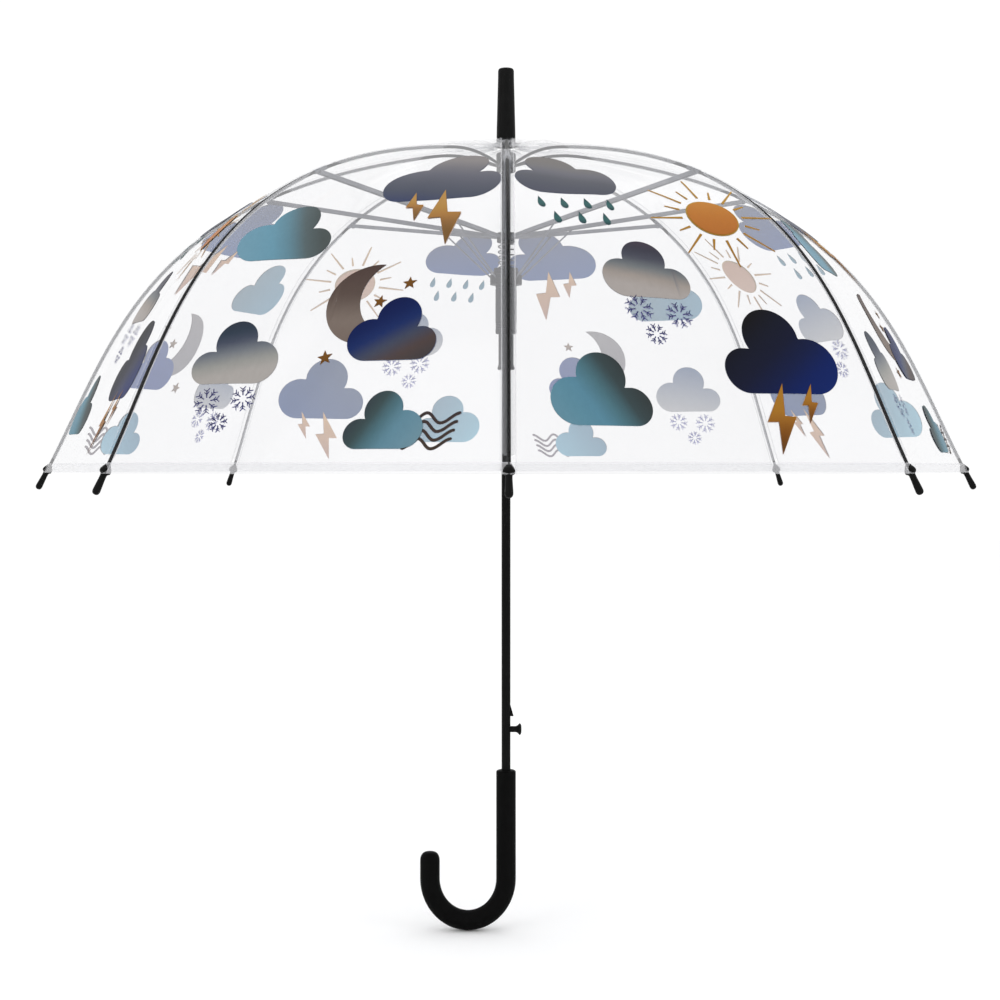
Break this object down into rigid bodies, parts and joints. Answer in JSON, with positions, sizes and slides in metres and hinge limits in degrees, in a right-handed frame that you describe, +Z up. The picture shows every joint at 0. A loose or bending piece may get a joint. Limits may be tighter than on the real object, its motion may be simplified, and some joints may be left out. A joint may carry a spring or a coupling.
{
  "type": "clear dome umbrella",
  "caption": "Clear dome stick umbrella with printed weather motifs, black shaft, sprung runner, push-button catch and J-hook handle, standing open; the whole canopy folds down to closed.",
  "frame": {"origin": "on the shaft's axis, in the middle of the handle's straight grip, where a hand holds it", "axes": "+Z runs up the shaft to the ferrule, -X is the side that the hook turns to, and rib 1 points to -Y"},
  "size_m": [0.9024, 0.9024, 0.8264],
  "materials": {
    "shaft_paint": "gloss",
    "black_plastic": "satin",
    "handle_soft": "matte",
    "rib_rod": "satin",
    "bright_steel": "satin",
    "clear_film": "glossy, clear"
  },
  "bodies": {
    "frame": {"shaft": "shaft_paint", "ferrule": "black_plastic", "canopy_washer": "black_plastic", "crown_notch": "black_plastic", "handle": "handle_soft"},
    "catch": {"catch": "black_plastic"},
    "upper_runner": {"upper_runner": "black_plastic", "opening_spring": "bright_steel"},
    "lower_runner": {"lower_runner": "black_plastic", "runner_grip": "black_plastic", "runner_tube": "black_plastic"},
    "rib_1": {"rib_1": "rib_rod", "tip_1": "black_plastic"},
    "stretcher_1": {"stretcher_1": "bright_steel"},
    "strut_1": {"strut_1": "bright_steel"},
    "leaf_1_left": {"leaf_1_left": "clear_film"},
    "leaf_1_right": {"leaf_1_right": "clear_film"},
    "rib_2": {"rib_2": "rib_rod", "tip_2": "black_plastic"},
    "stretcher_2": {"stretcher_2": "bright_steel"},
    "strut_2": {"strut_2": "bright_steel"},
    "leaf_2_left": {"leaf_2_left": "clear_film"},
    "leaf_2_right": {"leaf_2_right": "clear_film"},
    "rib_3": {"rib_3": "rib_rod", "tip_3": "black_plastic"},
    "stretcher_3": {"stretcher_3": "bright_steel"},
    "strut_3": {"strut_3": "bright_steel"},
    "leaf_3_left": {"leaf_3_left": "clear_film"},
    "leaf_3_right": {"leaf_3_right": "clear_film"},
    "rib_4": {"rib_4": "rib_rod", "tip_4": "black_plastic"},
    "stretcher_4": {"stretcher_4": "bright_steel"},
    "strut_4": {"strut_4": "bright_steel"},
    "leaf_4_left": {"leaf_4_left": "clear_film"},
    "leaf_4_right": {"leaf_4_right": "clear_film"},
    "rib_5": {"rib_5": "rib_rod", "tip_5": "black_plastic"},
    "stretcher_5": {"stretcher_5": "bright_steel"},
    "strut_5": {"strut_5": "bright_steel"},
    "leaf_5_left": {"leaf_5_left": "clear_film"},
    "leaf_5_right": {"leaf_5_right": "clear_film"},
    "rib_6": {"rib_6": "rib_rod", "tip_6": "black_plastic"},
    "stretcher_6": {"stretcher_6": "bright_steel"},
    "strut_6": {"strut_6": "bright_steel"},
    "leaf_6_left": {"leaf_6_left": "clear_film"},
    "leaf_6_right": {"leaf_6_right": "clear_film"},
    "rib_7": {"rib_7": "rib_rod", "tip_7": "black_plastic"},
    "stretcher_7": {"stretcher_7": "bright_steel"},
    "strut_7": {"strut_7": "bright_steel"},
    "leaf_7_left": {"leaf_7_left": "clear_film"},
    "leaf_7_right": {"leaf_7_right": "clear_film"},
    "rib_8": {"rib_8": "rib_rod", "tip_8": "black_plastic"},
    "stretcher_8": {"stretcher_8": "bright_steel"},
    "strut_8": {"strut_8": "bright_steel"},
    "leaf_8_left": {"leaf_8_left": "clear_film"},
    "leaf_8_right": {"leaf_8_right": "clear_film"}
  },
  "joints": [
    {"name": "catch_press", "type": "slide", "parent": "frame", "child": "catch", "axis": [-1, 0, 0], "range_m": [0, 0.003], "stiffness_N_per_m": 900, "springref_m": -0.0008},
    {"name": "canopy_fold", "type": "hinge", "parent": "frame", "child": "rib_1", "pos_m": [0, -0.0077, 0.6315], "axis": [1, 0, 0], "range_deg": [0, 53.6], "stiffness_Nm_per_rad": 0.9, "springref_deg": -126.05},
    {"name": "stretcher_1_joint", "type": "hinge", "parent": "rib_1", "child": "stretcher_1", "pos_m": [0, -0.2275, 0.5975], "axis": [-1, 0, 0], "range_deg": [0, 107.2]},
    {"name": "strut_1_joint", "type": "hinge", "parent": "stretcher_1", "child": "strut_1", "pos_m": [0, -0.06551, 0.57244], "axis": [1, 0, 0], "range_deg": [0, 24.74]},
    {"name": "leaf_1_left_fold", "type": "hinge", "parent": "rib_1", "child": "leaf_1_left", "pos_m": [0.00319, -0.0077, 0.6315], "axis": [-0.7028, 0.635, -0.3207], "range_deg": [0, 21.78], "deforming": ["leaf_1_left"]},
    {"name": "leaf_1_right_fold", "type": "hinge", "parent": "rib_1", "child": "leaf_1_right", "pos_m": [-0.00319, -0.0077, 0.6315], "axis": [-0.7028, -0.635, 0.3207], "range_deg": [0, 21.78], "deforming": ["leaf_1_right"]},
    {"name": "rib_2_fold", "type": "hinge", "parent": "frame", "child": "rib_2", "pos_m": [0.00544, -0.00544, 0.6315], "axis": [0.7071, 0.7071, 0], "range_deg": [0, 53.6]},
    {"name": "stretcher_2_joint", "type": "hinge", "parent": "rib_2", "child": "stretcher_2", "pos_m": [0.16087, -0.16087, 0.5975], "axis": [-0.7071, -0.7071, 0], "range_deg": [0, 107.2]},
    {"name": "strut_2_joint", "type": "hinge", "parent": "stretcher_2", "child": "strut_2", "pos_m": [0.04632, -0.04632, 0.57244], "axis": [0.7071, 0.7071, 0], "range_deg": [0, 24.74]},
    {"name": "leaf_2_left_fold", "type": "hinge", "parent": "rib_2", "child": "leaf_2_left", "pos_m": [0.0077, -0.00319, 0.6315], "axis": [-0.946, -0.048, -0.3207], "range_deg": [0, 21.78], "deforming": ["leaf_2_left"]},
    {"name": "leaf_2_right_fold", "type": "hinge", "parent": "rib_2", "child": "leaf_2_right", "pos_m": [0.00319, -0.0077, 0.6315], "axis": [-0.048, -0.946, 0.3207], "range_deg": [0, 21.78], "deforming": ["leaf_2_right"]},
    {"name": "rib_3_fold", "type": "hinge", "parent": "frame", "child": "rib_3", "pos_m": [0.0077, 0, 0.6315], "axis": [0, 1, 0], "range_deg": [0, 53.6]},
    {"name": "stretcher_3_joint", "type": "hinge", "parent": "rib_3", "child": "stretcher_3", "pos_m": [0.2275, 0, 0.5975], "axis": [0, -1, 0], "range_deg": [0, 107.2]},
    {"name": "strut_3_joint", "type": "hinge", "parent": "stretcher_3", "child": "strut_3", "pos_m": [0.06551, 0, 0.57244], "axis": [0, 1, 0], "range_deg": [0, 24.74]},
    {"name": "leaf_3_left_fold", "type": "hinge", "parent": "rib_3", "child": "leaf_3_left", "pos_m": [0.0077, 0.00319, 0.6315], "axis": [-0.635, -0.7028, -0.3207], "range_deg": [0, 21.78], "deforming": ["leaf_3_left"]},
    {"name": "leaf_3_right_fold", "type": "hinge", "parent": "rib_3", "child": "leaf_3_right", "pos_m": [0.0077, -0.00319, 0.6315], "axis": [0.635, -0.7028, 0.3207], "range_deg": [0, 21.78], "deforming": ["leaf_3_right"]},
    {"name": "rib_4_fold", "type": "hinge", "parent": "frame", "child": "rib_4", "pos_m": [0.00544, 0.00544, 0.6315], "axis": [-0.7071, 0.7071, 0], "range_deg": [0, 53.6]},
    {"name": "stretcher_4_joint", "type": "hinge", "parent": "rib_4", "child": "stretcher_4", "pos_m": [0.16087, 0.16087, 0.5975], "axis": [0.7071, -0.7071, 0], "range_deg": [0, 107.2]},
    {"name": "strut_4_joint", "type": "hinge", "parent": "stretcher_4", "child": "strut_4", "pos_m": [0.04632, 0.04632, 0.57244], "axis": [-0.7071, 0.7071, 0], "range_deg": [0, 24.74]},
    {"name": "leaf_4_left_fold", "type": "hinge", "parent": "rib_4", "child": "leaf_4_left", "pos_m": [0.00319, 0.0077, 0.6315], "axis": [0.048, -0.946, -0.3207], "range_deg": [0, 21.78], "deforming": ["leaf_4_left"]},
    {"name": "leaf_4_right_fold", "type": "hinge", "parent": "rib_4", "child": "leaf_4_right", "pos_m": [0.0077, 0.00319, 0.6315], "axis": [0.946, -0.048, 0.3207], "range_deg": [0, 21.78], "deforming": ["leaf_4_right"]},
    {"name": "rib_5_fold", "type": "hinge", "parent": "frame", "child": "rib_5", "pos_m": [0, 0.0077, 0.6315], "axis": [-1, 0, 0], "range_deg": [0, 53.6]},
    {"name": "stretcher_5_joint", "type": "hinge", "parent": "rib_5", "child": "stretcher_5", "pos_m": [0, 0.2275, 0.5975], "axis": [1, 0, 0], "range_deg": [0, 107.2]},
    {"name": "strut_5_joint", "type": "hinge", "parent": "stretcher_5", "child": "strut_5", "pos_m": [0, 0.06551, 0.57244], "axis": [-1, 0, 0], "range_deg": [0, 24.74]},
    {"name": "leaf_5_left_fold", "type": "hinge", "parent": "rib_5", "child": "leaf_5_left", "pos_m": [-0.00319, 0.0077, 0.6315], "axis": [0.7028, -0.635, -0.3207], "range_deg": [0, 21.78], "deforming": ["leaf_5_left"]},
    {"name": "leaf_5_right_fold", "type": "hinge", "parent": "rib_5", "child": "leaf_5_right", "pos_m": [0.00319, 0.0077, 0.6315], "axis": [0.7028, 0.635, 0.3207], "range_deg": [0, 21.78], "deforming": ["leaf_5_right"]},
    {"name": "rib_6_fold", "type": "hinge", "parent": "frame", "child": "rib_6", "pos_m": [-0.00544, 0.00544, 0.6315], "axis": [-0.7071, -0.7071, 0], "range_deg": [0, 53.6]},
    {"name": "stretcher_6_joint", "type": "hinge", "parent": "rib_6", "child": "stretcher_6", "pos_m": [-0.16087, 0.16087, 0.5975], "axis": [0.7071, 0.7071, 0], "range_deg": [0, 107.2]},
    {"name": "strut_6_joint", "type": "hinge", "parent": "stretcher_6", "child": "strut_6", "pos_m": [-0.04632, 0.04632, 0.57244], "axis": [-0.7071, -0.7071, 0], "range_deg": [0, 24.74]},
    {"name": "leaf_6_left_fold", "type": "hinge", "parent": "rib_6", "child": "leaf_6_left", "pos_m": [-0.0077, 0.00319, 0.6315], "axis": [0.946, 0.048, -0.3207], "range_deg": [0, 21.78], "deforming": ["leaf_6_left"]},
    {"name": "leaf_6_right_fold", "type": "hinge", "parent": "rib_6", "child": "leaf_6_right", "pos_m": [-0.00319, 0.0077, 0.6315], "axis": [0.048, 0.946, 0.3207], "range_deg": [0, 21.78], "deforming": ["leaf_6_right"]},
    {"name": "rib_7_fold", "type": "hinge", "parent": "frame", "child": "rib_7", "pos_m": [-0.0077, 0, 0.6315], "axis": [0, -1, 0], "range_deg": [0, 53.6]},
    {"name": "stretcher_7_joint", "type": "hinge", "parent": "rib_7", "child": "stretcher_7", "pos_m": [-0.2275, 0, 0.5975], "axis": [0, 1, 0], "range_deg": [0, 107.2]},
    {"name": "strut_7_joint", "type": "hinge", "parent": "stretcher_7", "child": "strut_7", "pos_m": [-0.06551, 0, 0.57244], "axis": [0, -1, 0], "range_deg": [0, 24.74]},
    {"name": "leaf_7_left_fold", "type": "hinge", "parent": "rib_7", "child": "leaf_7_left", "pos_m": [-0.0077, -0.00319, 0.6315], "axis": [0.635, 0.7028, -0.3207], "range_deg": [0, 21.78], "deforming": ["leaf_7_left"]},
    {"name": "leaf_7_right_fold", "type": "hinge", "parent": "rib_7", "child": "leaf_7_right", "pos_m": [-0.0077, 0.00319, 0.6315], "axis": [-0.635, 0.7028, 0.3207], "range_deg": [0, 21.78], "deforming": ["leaf_7_right"]},
    {"name": "rib_8_fold", "type": "hinge", "parent": "frame", "child": "rib_8", "pos_m": [-0.00544, -0.00544, 0.6315], "axis": [0.7071, -0.7071, 0], "range_deg": [0, 53.6]},
    {"name": "stretcher_8_joint", "type": "hinge", "parent": "rib_8", "child": "stretcher_8", "pos_m": [-0.16087, -0.16087, 0.5975], "axis": [-0.7071, 0.7071, 0], "range_deg": [0, 107.2]},
    {"name": "strut_8_joint", "type": "hinge", "parent": "stretcher_8", "child": "strut_8", "pos_m": [-0.04632, -0.04632, 0.57244], "axis": [0.7071, -0.7071, 0], "range_deg": [0, 24.74]},
    {"name": "leaf_8_left_fold", "type": "hinge", "parent": "rib_8", "child": "leaf_8_left", "pos_m": [-0.00319, -0.0077, 0.6315], "axis": [-0.048, 0.946, -0.3207], "range_deg": [0, 21.78], "deforming": ["leaf_8_left"]},
    {"name": "leaf_8_right_fold", "type": "hinge", "parent": "rib_8", "child": "leaf_8_right", "pos_m": [-0.0077, -0.00319, 0.6315], "axis": [-0.946, 0.048, 0.3207], "range_deg": [0, 21.78], "deforming": ["leaf_8_right"]},
    {"name": "upper_runner_joint", "type": "hinge", "parent": "stretcher_1", "child": "upper_runner", "pos_m": [0, -0.0077, 0.5635], "axis": [1, 0, 0], "range_deg": [0, 53.6]},
    {"name": "lower_runner_slide", "type": "slide", "parent": "upper_runner", "child": "lower_runner", "axis": [0, 0, 1], "range_m": [0, 0.02353], "deforming": ["opening_spring"]}
  ],
  "couplings": [
    {"joint": "stretcher_1_joint", "follows": "canopy_fold", "ratio": 2},
    {"joint": "strut_1_joint", "follows": "canopy_fold", "ratio": 0.46136},
    {"joint": "leaf_1_left_fold", "follows": "canopy_fold", "ratio": 0.40615},
    {"joint": "leaf_1_right_fold", "follows": "canopy_fold", "ratio": 0.40615},
    {"joint": "rib_2_fold", "follows": "canopy_fold", "ratio": 1},
    {"joint": "stretcher_2_joint", "follows": "canopy_fold", "ratio": 2},
    {"joint": "strut_2_joint", "follows": "canopy_fold", "ratio": 0.46136},
    {"joint": "leaf_2_left_fold", "follows": "canopy_fold", "ratio": 0.40615},
    {"joint": "leaf_2_right_fold", "follows": "canopy_fold", "ratio": 0.40615},
    {"joint": "rib_3_fold", "follows": "canopy_fold", "ratio": 1},
    {"joint": "stretcher_3_joint", "follows": "canopy_fold", "ratio": 2},
    {"joint": "strut_3_joint", "follows": "canopy_fold", "ratio": 0.46136},
    {"joint": "leaf_3_left_fold", "follows": "canopy_fold", "ratio": 0.40615},
    {"joint": "leaf_3_right_fold", "follows": "canopy_fold", "ratio": 0.40615},
    {"joint": "rib_4_fold", "follows": "canopy_fold", "ratio": 1},
    {"joint": "stretcher_4_joint", "follows": "canopy_fold", "ratio": 2},
    {"joint": "strut_4_joint", "follows": "canopy_fold", "ratio": 0.46136},
    {"joint": "leaf_4_left_fold", "follows": "canopy_fold", "ratio": 0.40615},
    {"joint": "leaf_4_right_fold", "follows": "canopy_fold", "ratio": 0.40615},
    {"joint": "rib_5_fold", "follows": "canopy_fold", "ratio": 1},
    {"joint": "stretcher_5_joint", "follows": "canopy_fold", "ratio": 2},
    {"joint": "strut_5_joint", "follows": "canopy_fold", "ratio": 0.46136},
    {"joint": "leaf_5_left_fold", "follows": "canopy_fold", "ratio": 0.40615},
    {"joint": "leaf_5_right_fold", "follows": "canopy_fold", "ratio": 0.40615},
    {"joint": "rib_6_fold", "follows": "canopy_fold", "ratio": 1},
    {"joint": "stretcher_6_joint", "follows": "canopy_fold", "ratio": 2},
    {"joint": "strut_6_joint", "follows": "canopy_fold", "ratio": 0.46136},
    {"joint": "leaf_6_left_fold", "follows": "canopy_fold", "ratio": 0.40615},
    {"joint": "leaf_6_right_fold", "follows": "canopy_fold", "ratio": 0.40615},
    {"joint": "rib_7_fold", "follows": "canopy_fold", "ratio": 1},
    {"joint": "stretcher_7_joint", "follows": "canopy_fold", "ratio": 2},
    {"joint": "strut_7_joint", "follows": "canopy_fold", "ratio": 0.46136},
    {"joint": "leaf_7_left_fold", "follows": "canopy_fold", "ratio": 0.40615},
    {"joint": "leaf_7_right_fold", "follows": "canopy_fold", "ratio": 0.40615},
    {"joint": "rib_8_fold", "follows": "canopy_fold", "ratio": 1},
    {"joint": "stretcher_8_joint", "follows": "canopy_fold", "ratio": 2},
    {"joint": "strut_8_joint", "follows": "canopy_fold", "ratio": 0.46136},
    {"joint": "leaf_8_left_fold", "follows": "canopy_fold", "ratio": 0.40615},
    {"joint": "leaf_8_right_fold", "follows": "canopy_fold", "ratio": 0.40615},
    {"joint": "upper_runner_joint", "follows": "canopy_fold", "ratio": 1},
    {"joint": "lower_runner_slide", "follows": "canopy_fold", "m_per_rad": 0.025129}
  ]
}
